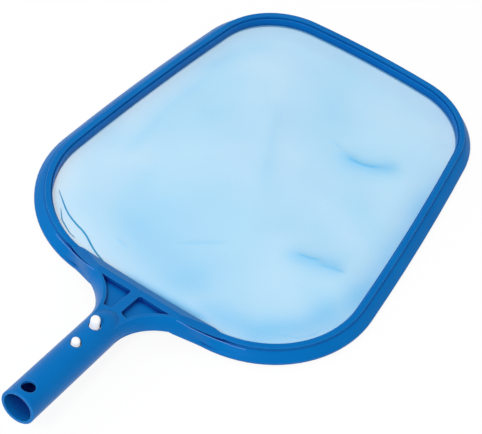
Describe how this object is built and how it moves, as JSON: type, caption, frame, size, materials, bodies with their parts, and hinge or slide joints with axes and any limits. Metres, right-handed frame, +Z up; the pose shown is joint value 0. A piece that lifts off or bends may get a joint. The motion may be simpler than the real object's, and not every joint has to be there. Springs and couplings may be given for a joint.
{
  "type": "leaf skimmer net",
  "caption": "Hand leaf skimmer for a pool: blue moulded frame and socket handle, flat mesh net, white spring-button clip.",
  "frame": {"origin": "centre of the handle's open mouth", "axes": "+Y from the mouth towards the net, +Z up out of the net's plane on the side that the buttons face, X across"},
  "size_m": [0.3, 0.5152, 0.0513],
  "materials": {
    "frame_blue": "satin moulded polypropylene",
    "net_aqua": "fine polyester mesh",
    "clip_white": "smooth moulded acetal"
  },
  "bodies": {
    "skimmer": {"frame": "frame_blue", "net_ring": "frame_blue", "net": "net_aqua", "clip_base": "clip_white"},
    "buttons": {"clip_arm": "clip_white"}
  },
  "joints": [
    {"name": "button_press", "type": "hinge", "parent": "skimmer", "child": "buttons", "pos_m": [0, 0.0389, 0.00407], "axis": [-1, 0, 0], "range_deg": [0, 11], "stiffness_Nm_per_rad": 2, "springref_deg": -1.72}
  ]
}
